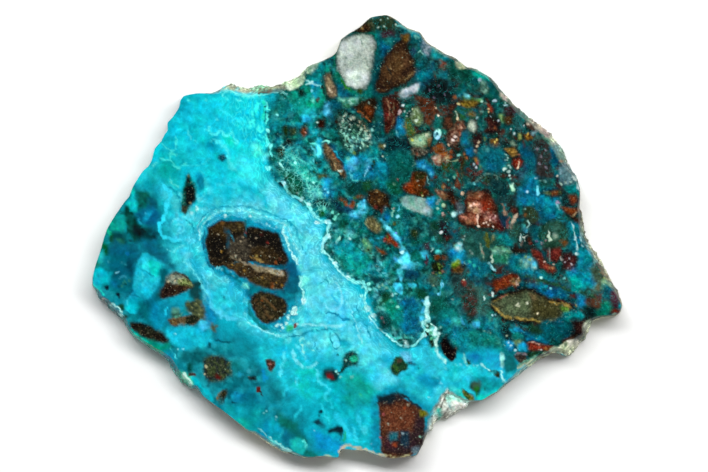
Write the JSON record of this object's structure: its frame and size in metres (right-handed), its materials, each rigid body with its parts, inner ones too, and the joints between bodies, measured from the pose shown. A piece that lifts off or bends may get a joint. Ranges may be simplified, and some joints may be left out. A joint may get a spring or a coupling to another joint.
{
  "type": "polished chrysocolla slab",
  "caption": "Flat irregular slab of blue-green chrysocolla breccia, polished on top, sawn flat underneath, with natural crust on parts of its rim.",
  "frame": {"origin": "middle of the sawn back face, which lies on the surface the slab rests on", "axes": "+X along the slab's longest side, +Y across it towards the pointed top, +Z out of the polished face"},
  "size_m": [0.0888, 0.0744, 0.008],
  "materials": {
    "stone": "polished blue-green stone with brown and white patches, natural crust on the rim and a sawn back"
  },
  "bodies": {
    "root": {"chrysocolla_slab": "stone"}
  },
  "joints": []
}
